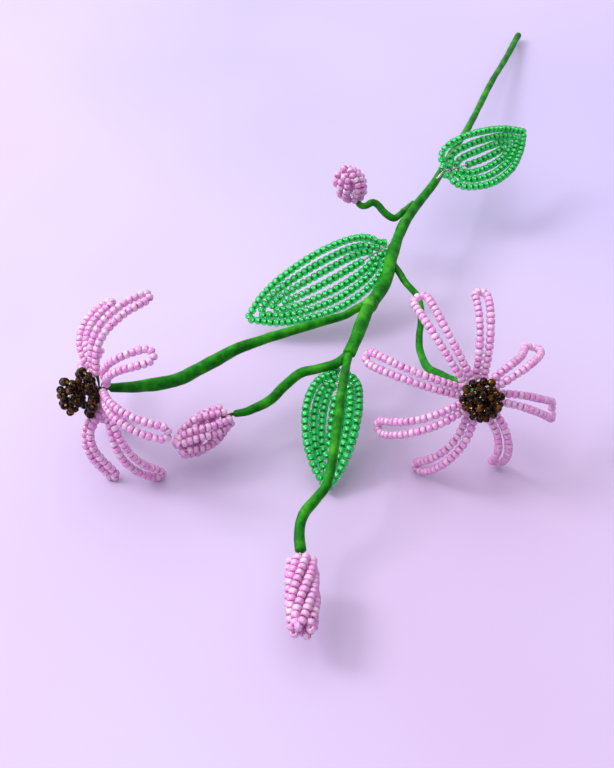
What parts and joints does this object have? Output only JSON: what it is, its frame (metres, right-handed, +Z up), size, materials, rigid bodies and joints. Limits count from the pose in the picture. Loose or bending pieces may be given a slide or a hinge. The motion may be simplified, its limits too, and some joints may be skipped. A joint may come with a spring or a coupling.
{
  "type": "beaded coneflower spray",
  "caption": "Handmade spray of pink beaded coneflowers, buds and green beaded leaves on taped wire stems, lying on its side as a table ornament.",
  "frame": {"origin": "middle of the spray's bounding box, on the surface it lies on", "axes": "+Z up, -Y towards the flowers and front buds, +Y towards the bare end of the stem, +X to the right"},
  "size_m": [0.1478, 0.281, 0.041],
  "materials": {
    "floral_tape": "waxed crepe paper tape, matt with a slight sheen",
    "wire": "fine silver craft wire",
    "pink_beads": "transparent pink-lined glass seed beads",
    "green_beads": "emerald silver-lined glass seed beads",
    "brown_beads": "dark topaz silver-lined glass seed beads"
  },
  "bodies": {
    "root": {"back_bud_centre_row": "pink_beads", "back_bud_loop_1": "pink_beads", "back_bud_loop_2": "pink_beads", "back_bud_loop_3": "pink_beads", "back_bud_loop_4": "pink_beads", "back_bud_neck": "wire", "back_bud_stem": "floral_tape", "back_leaf_centre_row": "green_beads", "back_leaf_round_1": "green_beads", "back_leaf_round_2": "green_beads", "back_leaf_round_3": "green_beads", "back_leaf_wire": "wire", "front_bud_centre_row": "pink_beads", "front_bud_loop_1": "pink_beads", "front_bud_loop_2": "pink_beads", "front_bud_loop_3": "pink_beads", "front_bud_loop_4": "pink_beads", "front_bud_neck": "wire", "front_bud_stem": "floral_tape", "front_leaf_centre_row": "green_beads", "front_leaf_round_1": "green_beads", "front_leaf_round_2": "green_beads", "front_leaf_round_3": "green_beads", "front_leaf_wire": "wire", "left_bud_centre_row": "pink_beads", "left_bud_loop_1": "pink_beads", "left_bud_loop_2": "pink_beads", "left_bud_loop_3": "pink_beads", "left_bud_loop_4": "pink_beads", "left_bud_neck": "wire", "left_bud_stem": "floral_tape", "left_flower_cone": "brown_beads", "left_flower_neck": "wire", "left_flower_petal_1": "pink_beads", "left_flower_petal_2": "pink_beads", "left_flower_petal_3": "pink_beads", "left_flower_petal_4": "pink_beads", "left_flower_petal_5": "pink_beads", "left_flower_petal_6": "pink_beads", "left_flower_petal_7": "pink_beads", "left_flower_petal_8": "pink_beads", "left_flower_stem": "floral_tape", "left_leaf_centre_row": "green_beads", "left_leaf_round_1": "green_beads", "left_leaf_round_2": "green_beads", "left_leaf_round_3": "green_beads", "left_leaf_wire": "wire", "main_stem": "floral_tape", "right_flower_cone": "brown_beads", "right_flower_neck": "wire", "right_flower_petal_1": "pink_beads", "right_flower_petal_2": "pink_beads", "right_flower_petal_3": "pink_beads", "right_flower_petal_4": "pink_beads", "right_flower_petal_5": "pink_beads", "right_flower_petal_6": "pink_beads", "right_flower_petal_7": "pink_beads", "right_flower_petal_8": "pink_beads", "right_flower_stem": "floral_tape"}
  },
  "joints": []
}
